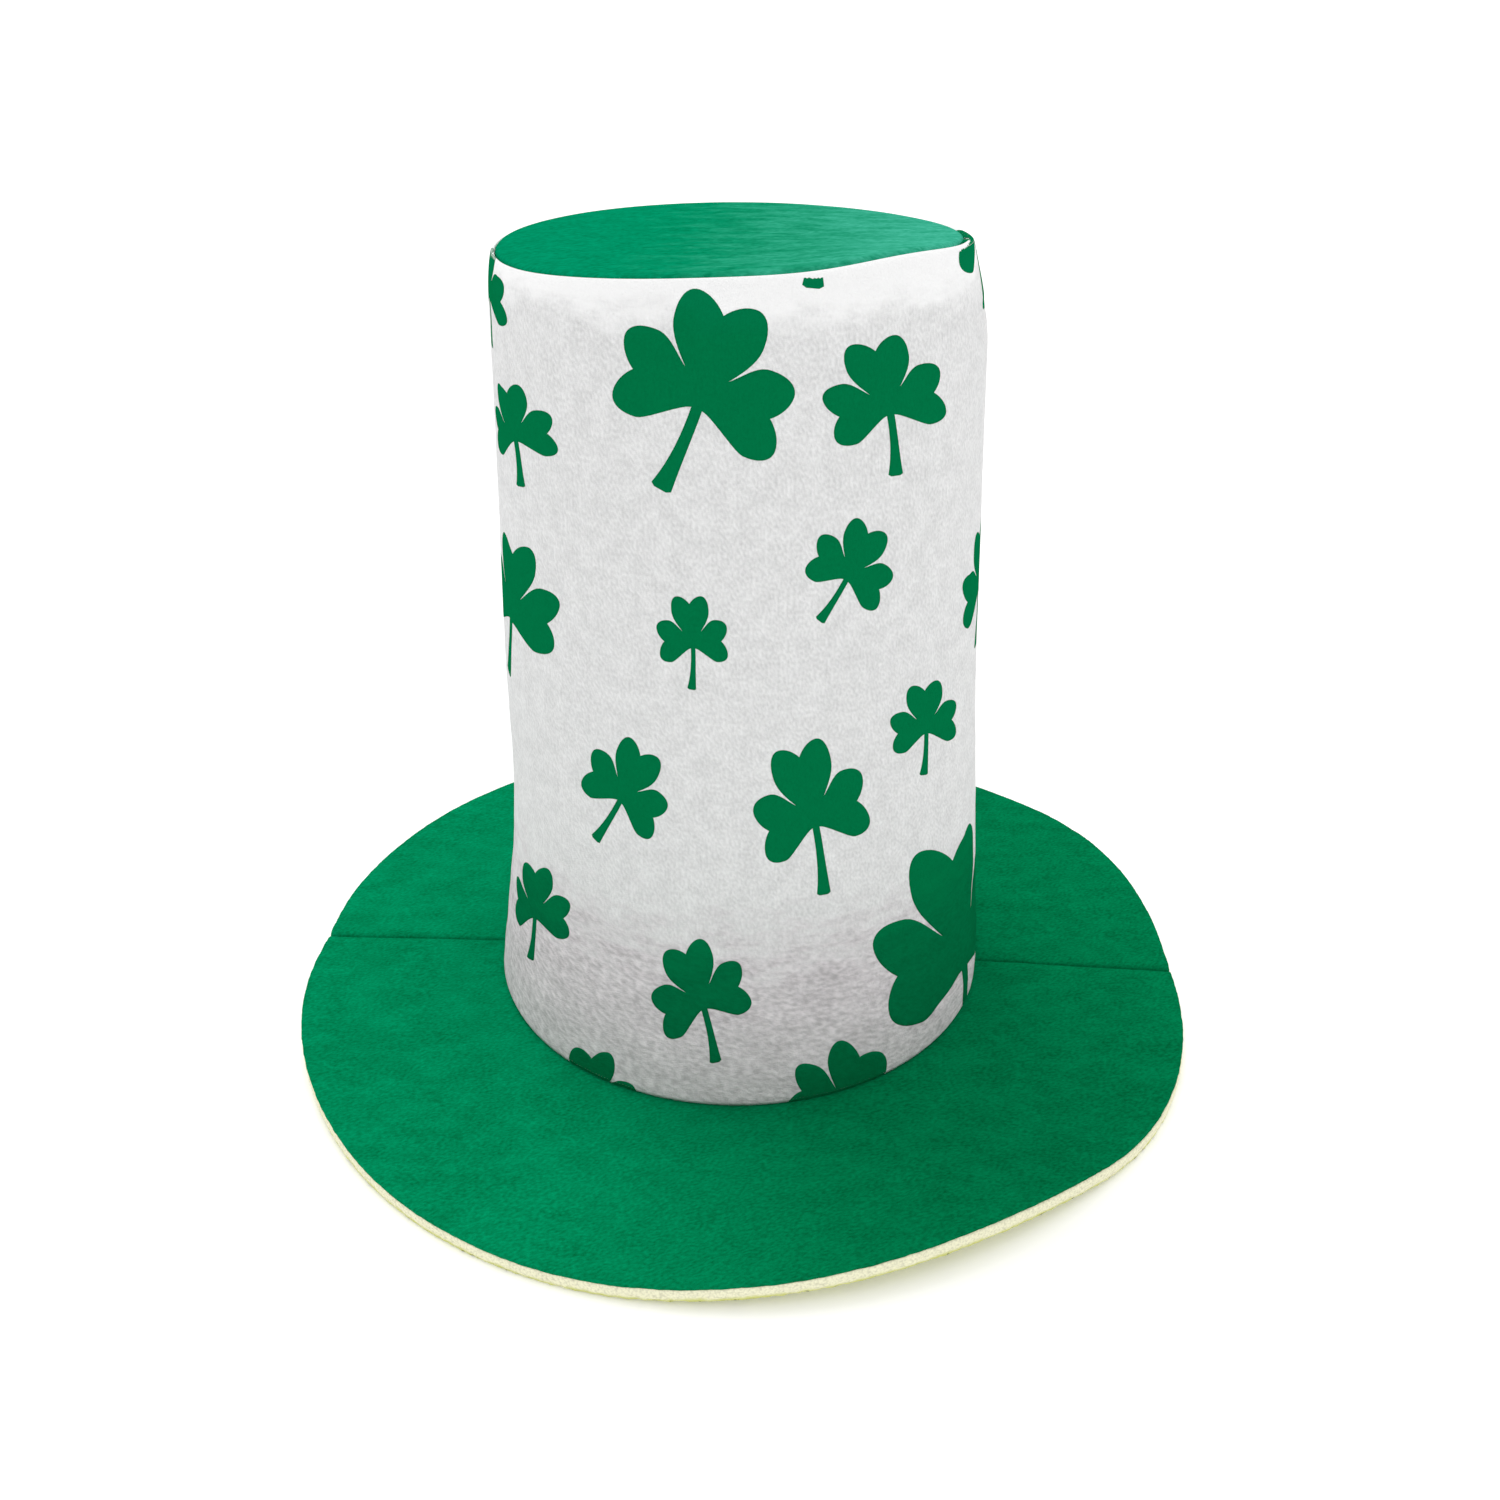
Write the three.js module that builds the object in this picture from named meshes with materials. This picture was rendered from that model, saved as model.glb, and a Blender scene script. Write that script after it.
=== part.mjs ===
// Tall costume hat: a white velour crown on a soft foam body, a green velour lid and a wide green brim sewn from a
// front and a back half. Millimetres, +Z up, -Y to the front, the brim's underside rests at z = 0.
import * as THREE from 'three';

// Crown
const crownHeight = 285.5;     // from the brim to the lid's seam, at the back
const crownFootRadius = 98;  // outside of the wall where it meets the brim
const crownWall = 5.5;       // velour and foam together
const lidSeamRadius = 76.5;  // where the wall ends and the lid begins
const lidShift = -1.8;       // the lid sits this far to the right of the foot's middle
const shoulderHeight = 18;   // the wall rolls in over this height below the seam
const rimRise = 8;           // the rim stands this much higher at its front right
const rimRiseHeight = 110;   // the wall stretches up to that over this height
const lidThickness = 5;
const lidDome = 2.5;

// Brim
const brimRadius = 180;
const brimFoam = 5;
const brimPlush = 1.3;
const brimFootLift = 4;      // underside of the brim above the floor, all round the crown's foot
const brimWave = 8;          // the highest wave of the edge, above the floor
const floorEase = 0.5;       // how softly the brim comes down to where it lies flat
const seamForward = 3;       // the two seams run this far in front of the crown's middle

const sewnGap = 0.3;         // clearance between pieces that are sewn or bonded to each other

// How finely the curved faces are divided
const segmentCount = 72;
const wallRows = 12;
const shoulderRows = 6;
const insideRows = 8;
const lidRings = 5;
const brimRows = 5;

// The wall's outer radius to the left and to the right as shares of the foot's, by share of the crown's height
const wallSections = [
  { height: 0.00, left: 1.000, right: 1.000 },
  { height: 0.06, left: 0.976, right: 0.998 },
  { height: 0.12, left: 0.950, right: 0.986 },
  { height: 0.20, left: 0.920, right: 0.967 },
  { height: 0.32, left: 0.892, right: 0.946 },
  { height: 0.44, left: 0.883, right: 0.918 },
  { height: 0.58, left: 0.869, right: 0.898 },
  { height: 0.71, left: 0.850, right: 0.882 },
  { height: 0.82, left: 0.841, right: 0.869 },
  { height: 0.94, left: 0.827, right: 0.857 },
];

// How much of the rim's rise each direction gets, in degrees from the right, counter-clockwise
const rimHeights = [
  { angle: -180, rise: 0.00 },
  { angle: -145, rise: 0.05 },
  { angle: -115, rise: 0.38 },
  { angle: -90, rise: 0.65 },
  { angle: -70, rise: 0.74 },
  { angle: -46, rise: 1.00 },
  { angle: -20, rise: 0.66 },
  { angle: 0, rise: 0.38 },
  { angle: 35, rise: 0.08 },
  { angle: 90, rise: 0.00 },
  { angle: 180, rise: 0.00 },
];

// The brim's edge: its radius as a share of brimRadius and its lift as a share of brimWave, below 0 where it lies
// flat
const brimEdge = [
  { angle: -180, radius: 0.968, lift: 0.25 },
  { angle: -175, radius: 0.977, lift: 0.28 },
  { angle: -165, radius: 0.986, lift: 0.30 },
  { angle: -150, radius: 0.991, lift: 0.30 },
  { angle: -130, radius: 1.000, lift: 0.05 },
  { angle: -112, radius: 1.002, lift: -0.25 },
  { angle: -97, radius: 0.997, lift: 0.12 },
  { angle: -76, radius: 0.989, lift: 0.70 },
  { angle: -58, radius: 0.985, lift: 0.92 },
  { angle: -44, radius: 0.992, lift: 0.50 },
  { angle: -33, radius: 1.014, lift: -0.15 },
  { angle: -20, radius: 1.018, lift: -0.25 },
  { angle: -8, radius: 1.007, lift: 0.10 },
  { angle: 0, radius: 0.993, lift: 0.30 },
  { angle: 10, radius: 0.998, lift: 0.60 },
  { angle: 27, radius: 1.004, lift: 0.95 },
  { angle: 47, radius: 0.998, lift: 0.35 },
  { angle: 65, radius: 1.000, lift: -0.25 },
  { angle: 90, radius: 1.000, lift: 0.20 },
  { angle: 120, radius: 1.005, lift: 0.20 },
  { angle: 145, radius: 1.012, lift: -0.25 },
  { angle: 163, radius: 0.998, lift: 0.10 },
  { angle: 173, radius: 0.982, lift: 0.20 },
  { angle: 180, radius: 0.968, lift: 0.25 },
];

const { degToRad, radToDeg, lerp, clamp, smoothstep } = THREE.MathUtils;

// A smooth curve through one column of a table. A table of angles joins its last row to its first.
function smoothColumn(rows, along, column, joinsRound = false) {
  const keys = rows.map((row) => row[along]);
  const values = rows.map((row) => row[column]);
  const curve = new THREE.CubicInterpolant(keys, values, 1, [0]);
  const ending = joinsRound ? THREE.WrapAroundEnding : THREE.ZeroCurvatureEnding;
  curve.settings = { endingStart: ending, endingEnd: ending };
  return (at) => curve.evaluate(clamp(at, keys[0], keys[keys.length - 1]))[0];
}

const wallLeft = smoothColumn(wallSections, 'height', 'left');
const wallRight = smoothColumn(wallSections, 'height', 'right');
const rimShare = smoothColumn(rimHeights, 'angle', 'rise', true);
const edgeRadiusShare = smoothColumn(brimEdge, 'angle', 'radius', true);
const edgeLiftShare = smoothColumn(brimEdge, 'angle', 'lift', true);

// Height of the brim's underside for a wanted lift: flat on the floor at 0, and leaving it without a crease
function aboveFloor(lift) {
  return lift > 0 ? lift * lift / (lift + floorEase) : 0;
}

const headRadius = crownFootRadius - crownWall;
const foamTop = aboveFloor(brimFootLift) + brimFoam;
const plushTop = foamTop + sewnGap + brimPlush;
const crownFoot = plushTop + sewnGap;
const lidSeamHeight = plushTop + crownHeight;

// Turns a section of (radius, height) points about the crown's axis
function turned(section) {
  return new THREE.LatheGeometry(section, segmentCount).rotateX(Math.PI / 2);
}

// Moves every vertex by a rule of its radius, its angle in degrees and its height
function shaped(geometry, rule) {
  const position = geometry.getAttribute('position');
  for (let i = 0; i < position.count; i += 1) {
    const x = position.getX(i);
    const y = position.getY(i);
    const turn = Math.atan2(y, x);
    const moved = rule(Math.hypot(x, y), radToDeg(turn), position.getZ(i));
    position.setX(i, moved.radius * Math.cos(turn) + moved.shift);
    position.setY(i, moved.radius * Math.sin(turn));
    position.setZ(i, moved.height);
  }
  geometry.computeVertexNormals();
  return geometry;
}

// The rows between two heights or radii, ends included
function rows(from, to, count) {
  return Array.from({ length: count + 1 }, (_, i) => lerp(from, to, i / count));
}

// Share of the crown's height that a height above the floor is at
function crownShare(height) {
  return clamp((height - plushTop) / crownHeight, 0, 1);
}

function wallRadius(height) {
  const share = crownShare(height);
  return crownFootRadius * (wallLeft(share) + wallRight(share)) / 2;
}

const shoulderFoot = lidSeamHeight - shoulderHeight;
const shoulderRadius = wallRadius(shoulderFoot);

// How far the wall's middle is to the right of the foot's: it leans where its right side is further out than its
// left, and it meets the lid round the lid's own middle
function wallShift(radius, height) {
  const share = crownShare(height);
  const lean = crownFootRadius * (wallRight(share) - wallLeft(share)) / 2;
  const rollsIn = height > shoulderFoot ? (shoulderRadius - radius) / (shoulderRadius - lidSeamRadius) : 0;
  return lerp(lean, lidShift, clamp(rollsIn, 0, 1));
}

function crownShape(radius, angle, height) {
  const rise = rimRise * smoothstep(height, lidSeamHeight - rimRiseHeight, lidSeamHeight - lidThickness);
  return { radius, shift: wallShift(radius, height), height: height + rise * rimShare(angle) };
}

function crownWallGeometry() {
  const outside = rows(crownFoot, shoulderFoot, wallRows).map((z) => new THREE.Vector2(wallRadius(z), z));
  const shoulderTurns = rows(0, Math.PI / 2, shoulderRows).slice(1);
  const shoulder = shoulderTurns.map((turn) => new THREE.Vector2(
    lerp(lidSeamRadius, shoulderRadius, Math.cos(turn)),
    shoulderFoot + shoulderHeight * Math.sin(turn),
  ));
  const insideTop = lidSeamHeight - lidThickness - sewnGap;
  const inside = rows(insideTop - crownWall, crownFoot, insideRows).map((z) => (
    new THREE.Vector2(wallRadius(z) - crownWall, z)
  ));
  inside.unshift(new THREE.Vector2(lidSeamRadius, insideTop));
  const section = [...outside, ...shoulder, ...inside, outside[0]];
  return shaped(turned(section), crownShape);
}

function lidGeometry() {
  const edge = lidSeamRadius - sewnGap;
  const under = rows(0, edge, lidRings).map((r) => new THREE.Vector2(r, lidSeamHeight - lidThickness));
  const over = rows(edge, 0, lidRings).map((r) => new THREE.Vector2(r, lidSeamHeight));
  return shaped(turned([...under, ...over]), (radius, angle, height) => {
    const out = (radius / edge) ** 2;
    return { radius, shift: lidShift, height: height + rimRise * rimShare(angle) * out + lidDome * (1 - out) };
  });
}

// A point of the brim at its nominal radius and a height given at the crown's foot
function brimPoint(radius, angle, height) {
  const reach = clamp((radius - crownFootRadius) / (brimRadius - crownFootRadius), 0, 1);
  const edge = brimRadius * edgeRadiusShare(angle);
  const lift = lerp(brimFootLift, brimWave * edgeLiftShare(angle), smoothstep(reach, 0, 1));
  const out = radius + reach * (edge - brimRadius);
  const turn = degToRad(angle);
  return new THREE.Vector3(
    out * Math.cos(turn),
    out * Math.sin(turn) - seamForward * Math.cos(turn) ** 4,
    height + aboveFloor(lift) - aboveFloor(brimFootLift),
  );
}

// A closed slab from a grid of points: the same facets above and below, and walls round the grid's outline.
// Columns run counter-clockwise and rows outwards.
function slabGeometry(columns, rowCount, pointAt) {
  const points = [];
  const faces = [];
  const size = columns * rowCount;
  for (const isTop of [true, false]) {
    for (let column = 0; column < columns; column += 1) {
      for (let row = 0; row < rowCount; row += 1) points.push(pointAt(column, row, isTop));
    }
  }
  const at = (column, row) => column * rowCount + row;
  for (let column = 0; column + 1 < columns; column += 1) {
    for (let row = 0; row + 1 < rowCount; row += 1) {
      const quad = [at(column, row), at(column, row + 1), at(column + 1, row + 1), at(column + 1, row)];
      for (const [a, b, c] of [[quad[0], quad[1], quad[2]], [quad[0], quad[2], quad[3]]]) {
        faces.push(a, b, c, size + c, size + b, size + a);
      }
    }
  }
  const across = [...Array(columns).keys()];
  const along = [...Array(rowCount).keys()];
  const outline = [
    ...across.map((column) => at(column, rowCount - 1)),
    ...along.slice(0, -1).reverse().map((row) => at(columns - 1, row)),
    ...across.slice(0, -1).reverse().map((column) => at(column, 0)),
    ...along.slice(1, -1).map((row) => at(0, row)),
  ];
  outline.forEach((p, i) => {
    const q = outline[(i + 1) % outline.length];
    faces.push(size + p, size + q, q, size + p, q, p);
  });
  const geometry = new THREE.BufferGeometry().setFromPoints(points);
  geometry.setIndex(faces);
  geometry.computeVertexNormals();
  return geometry;
}

// One half of one layer of the brim, between two heights at the crown's foot
function brimHalfGeometry(bottom, top, isBack) {
  const steps = segmentCount / 2;
  const radii = [headRadius, ...rows(crownFootRadius, brimRadius, brimRows)];
  const start = isBack ? 0 : -180;
  const half = slabGeometry(steps + 1, radii.length, (column, row, isTop) => (
    brimPoint(radii[row], start + 180 * column / steps, isTop ? top : bottom)
  ));
  return half.translate(0, (isBack ? sewnGap : -sewnGap) / 2, 0);
}

const whiteVelour = new THREE.MeshStandardMaterial({ color: 0xe6e6e6, roughness: 0.95, metalness: 0 });
const greenVelour = new THREE.MeshStandardMaterial({ color: 0x027d4d, roughness: 0.9, metalness: 0 });
const creamFoam = new THREE.MeshStandardMaterial({ color: 0xd8dcb4, roughness: 1, metalness: 0 });

function piece(name, geometry, material) {
  const mesh = new THREE.Mesh(geometry, material);
  mesh.name = name;
  return mesh;
}

const foamBottom = aboveFloor(brimFootLift);
const plushBottom = foamTop + sewnGap;

const hat = new THREE.Group();
hat.add(
  piece('crown_wall', crownWallGeometry(), whiteVelour),
  piece('crown_top', lidGeometry(), greenVelour),
  piece('brim_front_plush', brimHalfGeometry(plushBottom, plushTop, false), greenVelour),
  piece('brim_back_plush', brimHalfGeometry(plushBottom, plushTop, true), greenVelour),
  piece('brim_front_foam', brimHalfGeometry(foamBottom, foamTop, false), creamFoam),
  piece('brim_back_foam', brimHalfGeometry(foamBottom, foamTop, true), creamFoam),
);

export default hat;
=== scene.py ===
import math

import bmesh
import bpy
import numpy as np
from mathutils import Euler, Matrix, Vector, noise
from mathutils.bvhtree import BVHTree
from mathutils.geometry import delaunay_2d_cdt


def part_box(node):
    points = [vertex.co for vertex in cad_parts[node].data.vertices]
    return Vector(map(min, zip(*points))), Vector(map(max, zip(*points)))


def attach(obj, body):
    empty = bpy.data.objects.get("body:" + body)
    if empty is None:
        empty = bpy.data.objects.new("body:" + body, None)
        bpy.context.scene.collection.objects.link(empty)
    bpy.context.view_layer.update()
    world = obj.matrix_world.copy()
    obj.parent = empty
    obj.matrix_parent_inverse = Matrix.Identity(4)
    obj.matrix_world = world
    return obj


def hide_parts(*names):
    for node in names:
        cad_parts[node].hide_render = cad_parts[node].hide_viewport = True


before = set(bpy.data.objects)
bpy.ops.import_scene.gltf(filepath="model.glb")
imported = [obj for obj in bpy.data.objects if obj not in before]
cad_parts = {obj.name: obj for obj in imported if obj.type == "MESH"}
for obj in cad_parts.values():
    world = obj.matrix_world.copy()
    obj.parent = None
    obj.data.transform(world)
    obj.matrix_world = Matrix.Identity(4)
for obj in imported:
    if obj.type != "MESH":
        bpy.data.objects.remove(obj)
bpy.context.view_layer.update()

# Camera

cameraView = {
    "place": (0.0404, -0.5032, 0.3879),
    "tilt": 60.66,   # degrees up from straight down
    "turn": 4.03,    # degrees to the left
    "lens": 35.57,   # mm, on a sensor 36 mm wide
    "sensor": 36.0,
}


def makeCamera():
    data = bpy.data.cameras.new("camera")
    data.lens = cameraView["lens"]
    data.sensor_width = cameraView["sensor"]
    data.clip_start = 0.01
    data.clip_end = 100
    camera = bpy.data.objects.new("camera", data)
    bpy.context.scene.collection.objects.link(camera)
    camera.location = cameraView["place"]
    camera.rotation_euler = (math.radians(cameraView["tilt"]), 0, math.radians(cameraView["turn"]))
    bpy.context.scene.camera = camera


makeCamera()
print("camera ready")

# Measuring the plain model


def nodeTree(name):
    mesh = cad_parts[name].data
    return BVHTree.FromPolygons([v.co for v in mesh.vertices], [p.vertices for p in mesh.polygons])


def firstHit(trees, start, direction):
    hits = [tree.ray_cast(Vector(start), Vector(direction)) for tree in trees]
    hits = [hit for hit in hits if hit[0] is not None]
    return min(hits, key=lambda hit: hit[3])[0] if hits else None


# Evens out a table of measures taken round the hat, so that no facet of the plain model shows
def evened(table, aroundReach, alongReach):
    table = np.array(table)
    for _ in range(2):
        turns = [np.roll(table, k, axis=0) for k in range(-aroundReach, aroundReach + 1)]
        table = sum(turns) / len(turns)
        if table.ndim > 1 and alongReach:
            count = table.shape[1]
            wide = np.pad(table, ((0, 0), (alongReach, alongReach)), mode="reflect", reflect_type="odd")
            table = sum(wide[:, k:k + count] for k in range(2 * alongReach + 1)) / (2 * alongReach + 1)
    return table


# Reads a table whose rows go once round in equal steps from firstAngle, and whose columns go from 0 to 1
def tableAt(table, firstAngle, angle, share):
    count, columns = table.shape
    a = ((angle - firstAngle) / 360 * count) % count
    b = np.clip(share, 0, 1) * (columns - 1)
    a, b = np.broadcast_arrays(a, b)
    a0 = np.floor(a).astype(int) % count
    b0 = np.minimum(np.floor(b).astype(int), columns - 2)
    fa, fb = a - np.floor(a), b - b0
    a1 = (a0 + 1) % count
    low = table[a0, b0] * (1 - fb) + table[a0, b0 + 1] * fb
    high = table[a1, b0] * (1 - fb) + table[a1, b0 + 1] * fb
    return low * (1 - fa) + high * fa


def smoothStep(x):
    x = np.clip(x, 0, 1)
    return x * x * (3 - 2 * x)


# Soft unevenness of a hand-sewn cloth, about -1 to 1, at points scaled to the lumps' size
def lumps(points, size, seed):
    flat = np.asarray(points, float).reshape(-1, 3) / size + seed
    values = [noise.noise(Vector(p)) for p in flat]
    return np.array(values).reshape(np.shape(points)[:-1])


# Meshes

collection = bpy.context.scene.collection


def makeMesh(name, points, faces, material, uv=None):
    mesh = bpy.data.meshes.new(name)
    mesh.from_pydata([tuple(p) for p in points], [], faces)
    if uv is not None:
        layer = mesh.uv_layers.new(name="unrolled")
        layer.data.foreach_set("uv", np.array(uv, float).ravel())
    mesh.polygons.foreach_set("use_smooth", [True] * len(mesh.polygons))
    mesh.materials.append(material)
    mesh.update()
    piece = bpy.data.objects.new(name, mesh)
    collection.objects.link(piece)
    return piece


def facesOutward(piece):
    made = bmesh.new()
    made.from_mesh(piece.data)
    bmesh.ops.recalc_face_normals(made, faces=made.faces)
    made.to_mesh(piece.data)
    made.free()


# Joins closed sections of (columns, points, 3), one for each direction round the hat, into one closed ring
def ringMesh(name, sections, material, sectionUv=None, panelWidth=0.0):
    columns, count, _ = sections.shape
    faces, uv = [], []
    for i in range(columns):
        j = (i + 1) % columns
        for k in range(count):
            m = (k + 1) % count
            faces.append((i * count + k, j * count + k, j * count + m, i * count + m))
            if sectionUv is not None:
                step = panelWidth / columns
                left = -panelWidth / 2 + i * step
                right = left + step
                for column, row, across in ((i, k, left), (j, k, right), (j, m, right), (i, m, left)):
                    uv.append((across + sectionUv[column, row, 0], sectionUv[column, row, 1]))
    piece = makeMesh(name, sections.reshape(-1, 3), faces, material, uv if sectionUv is not None else None)
    facesOutward(piece)
    return piece


# Closes two surfaces of (columns, rows, 3) points into one slab. Values are kept at its points as their depth
def slabMesh(name, top, bottom, material, values=None):
    columns, rows, _ = top.shape
    size = columns * rows
    faces = []
    for i in range(columns - 1):
        for k in range(rows - 1):
            a, b = i * rows + k, (i + 1) * rows + k
            faces.append((a, a + 1, b + 1, b))
            faces.append((size + b, size + b + 1, size + a + 1, size + a))
    across = [i * rows for i in range(columns)]
    outline = [p + rows - 1 for p in across]
    outline += [(columns - 1) * rows + k for k in range(rows - 2, -1, -1)]
    outline += across[-2::-1]
    outline += list(range(1, rows - 1))
    for n, p in enumerate(outline):
        q = outline[(n + 1) % len(outline)]
        faces.append((size + p, size + q, q, p))
    points = np.concatenate([top.reshape(-1, 3), bottom.reshape(-1, 3)])
    piece = makeMesh(name, points, faces, material)
    if values is not None:
        layer = piece.data.attributes.new("depth", "FLOAT", "POINT")
        layer.data.foreach_set("value", np.concatenate([v.ravel() for v in values]).astype(np.float32))
    facesOutward(piece)
    return piece


# A disc closed over and under: both surfaces have one centre point and then (columns, rows) points outwards
def discMesh(name, section, centreOver, centreUnder, material):
    columns, rows, _ = section.shape
    over, under = columns * rows, columns * rows + 1
    faces = []
    for i in range(columns):
        j = (i + 1) % columns
        faces.append((over, i * rows, j * rows))
        faces.append((under, j * rows + rows - 1, i * rows + rows - 1))
        for k in range(rows - 1):
            faces.append((i * rows + k, i * rows + k + 1, j * rows + k + 1, j * rows + k))
    points = np.concatenate([section.reshape(-1, 3), [centreOver, centreUnder]])
    piece = makeMesh(name, points, faces, material)
    facesOutward(piece)
    return piece


# Materials


def addNode(tree, kind, inputs=None, **settings):
    node = tree.nodes.new(kind)
    for key, value in settings.items():
        setattr(node, key, value)
    for key, value in (inputs or {}).items():
        if isinstance(value, bpy.types.NodeSocket):
            tree.links.new(value, node.inputs[key])
        else:
            node.inputs[key].default_value = value
    return node


def mathNode(tree, operation, a, b):
    return addNode(tree, "ShaderNodeMath", {0: a, 1: b}, operation=operation).outputs[0]


# Goes from 0 to 1 while the value goes from one limit to the other
def rangeNode(tree, value, fromLow, fromHigh, smooth=True):
    kind = "SMOOTHSTEP" if smooth else "LINEAR"
    inputs = {"Value": value, "From Min": fromLow, "From Max": fromHigh}
    return addNode(tree, "ShaderNodeMapRange", inputs, interpolation_type=kind).outputs["Result"]


def mixColours(tree, factor, a, b):
    node = addNode(tree, "ShaderNodeMix", {0: factor}, data_type="RGBA")
    for key, value in ((6, a), (7, b)):
        if isinstance(value, bpy.types.NodeSocket):
            tree.links.new(value, node.inputs[key])
        else:
            node.inputs[key].default_value = (*value, 1)
    return node.outputs[2]


# The pile of velour: soft clouds where it lies this way or that, small flecks, the side of each tuft that
# catches the light, and the height of the tufts
def makeNapGroup():
    tree = bpy.data.node_groups.new("napOfVelour", "ShaderNodeTree")
    for name, kind, value in (
        ("Vector", "NodeSocketVector", (0, 0, 0)),
        ("Fleck Size", "NodeSocketFloat", 0.0016),
        ("Cloud Size", "NodeSocketFloat", 0.012),
        ("Lean", "NodeSocketVector", (0, 0, 0)),
    ):
        tree.interface.new_socket(name, in_out="INPUT", socket_type=kind).default_value = value
    for name in ("Clouds", "Flecks", "Lit Side", "Height"):
        tree.interface.new_socket(name, in_out="OUTPUT", socket_type="NodeSocketFloat")
    given = addNode(tree, "NodeGroupInput").outputs
    wanted = addNode(tree, "NodeGroupOutput").inputs

    def noiseOf(place, size, detail, roughness):
        scale = mathNode(tree, "DIVIDE", 1.0, size)
        inputs = {"Vector": place, "Scale": scale, "Detail": detail, "Roughness": roughness}
        return addNode(tree, "ShaderNodeTexNoise", inputs).outputs["Fac"]

    place = given["Vector"]
    leaning = addNode(tree, "ShaderNodeVectorMath", {0: place, 1: given["Lean"]}).outputs[0]
    clouds = noiseOf(place, given["Cloud Size"], 4.0, 0.6)
    flecks = noiseOf(place, given["Fleck Size"], 3.0, 0.6)
    behind = noiseOf(leaning, given["Fleck Size"], 3.0, 0.6)
    fibres = noiseOf(place, mathNode(tree, "MULTIPLY", given["Fleck Size"], 0.3), 2.0, 0.7)
    slope = mathNode(tree, "SUBTRACT", behind, flecks)
    tufts = mathNode(tree, "MULTIPLY", flecks, 0.6)
    height = mathNode(tree, "ADD", tufts, mathNode(tree, "MULTIPLY", fibres, 0.3))
    tree.links.new(rangeNode(tree, clouds, 0.3, 0.7), wanted["Clouds"])
    tree.links.new(rangeNode(tree, flecks, 0.35, 0.65), wanted["Flecks"])
    tree.links.new(rangeNode(tree, slope, -0.16, 0.16, smooth=False), wanted["Lit Side"])
    tree.links.new(height, wanted["Height"])
    return tree


napGroup = makeNapGroup()


def startMaterial(name, roughness, sheen=0.0, sheenRoughness=0.5, sheenTint=(1, 1, 1)):
    material = bpy.data.materials.new(name)
    material.use_nodes = True
    tree = material.node_tree
    shader = tree.nodes["Principled BSDF"]
    shader.inputs["Roughness"].default_value = roughness
    shader.inputs["Specular IOR Level"].default_value = 0.0
    shader.inputs["Sheen Weight"].default_value = sheen
    shader.inputs["Sheen Roughness"].default_value = sheenRoughness
    shader.inputs["Sheen Tint"].default_value = (*sheenTint, 1)
    return material, tree, shader


def placeOnPiece(tree, stretch=(1, 1, 1), turn=0.0, unrolled=False):
    if unrolled:
        place = addNode(tree, "ShaderNodeUVMap", uv_map="unrolled").outputs["UV"]
    else:
        place = addNode(tree, "ShaderNodeTexCoord").outputs["Object"]
    inputs = {"Vector": place, "Rotation": (0, 0, math.radians(turn)), "Scale": stretch}
    return place, addNode(tree, "ShaderNodeMapping", inputs).outputs["Vector"]


def napNodes(tree, vector, fleckSize, cloudSize, lean):
    node = addNode(tree, "ShaderNodeGroup", node_tree=napGroup)
    tree.links.new(vector, node.inputs["Vector"])
    node.inputs["Fleck Size"].default_value = fleckSize
    node.inputs["Cloud Size"].default_value = cloudSize
    node.inputs["Lean"].default_value = [step * fleckSize for step in lean]
    return node.outputs


# The sum of values, each times its share
def blended(tree, *parts):
    total = None
    for value, share in parts:
        part = mathNode(tree, "MULTIPLY", value, share)
        total = part if total is None else mathNode(tree, "ADD", total, part)
    return total


def bumpInto(tree, shader, height, strength, distance):
    inputs = {"Height": height, "Strength": strength, "Distance": distance}
    bump = addNode(tree, "ShaderNodeBump", inputs)
    tree.links.new(bump.outputs["Normal"], shader.inputs["Normal"])


# Colours are linear
whiteLook = {
    "lit": (0.96, 0.96, 0.96),
    "shaded": (0.60, 0.60, 0.60),
    # the rim's colour: a painted highlight on the shoulder under the lid's seam
    "rim": (0.98, 0.98, 0.98),
    "crushedLit": (1.00, 0.94, 0.97),
    "crushedShaded": (0.39, 0.362, 0.376),
    "fleckSize": 0.0010,
    "cloudSize": 0.007,
    "lean": (-0.2, 0.5, 0),   # in tufts, to the right along the panel and up
    "strokeSize": 0.0011,     # tufts of the crushed pile near the foot
    "strokeStretch": 2.6,
    "crushTop": 0.088,        # the crushed pile begins this high above the foot
    "crushFull": 0.045,
    "highlightFrom": 0.272,         # and the rim's painted highlight here
    "highlightFull": 0.286,
}

printLook = {
    "lit": (0.0006, 0.190, 0.065),
    "shaded": (0.0005, 0.160, 0.053),
    # the rim's colour under the painted highlight, about as bright as the lit colour
    "rim": (0.0008, 0.190, 0.070),
    "crushedLit": (0.0010, 0.180, 0.066),
    "crushedShaded": (0.0008, 0.130, 0.044),
}

# The brim is painted darker towards the right: painted shade
brimLook = {
    "lit": (0.0006, 0.345, 0.146),
    "shaded": (0.0005, 0.108, 0.031),
    # painted shade: the darker colours of the right side
    "farLit": (0.0005, 0.262, 0.098),
    "farShaded": (0.0004, 0.080, 0.023),
    "paintedLightFrom": -0.07,        # metres to the right where the painted shade begins and ends
    "paintedLightTo": 0.07,
    "fleckSize": 0.0009,
    "cloudSize": 0.012,
    "lean": (0.3, 0.5, 0),
    "stretch": (0.8, 1.3, 1),
    "turn": 14,
    "sheen": 0.02,
}
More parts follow.
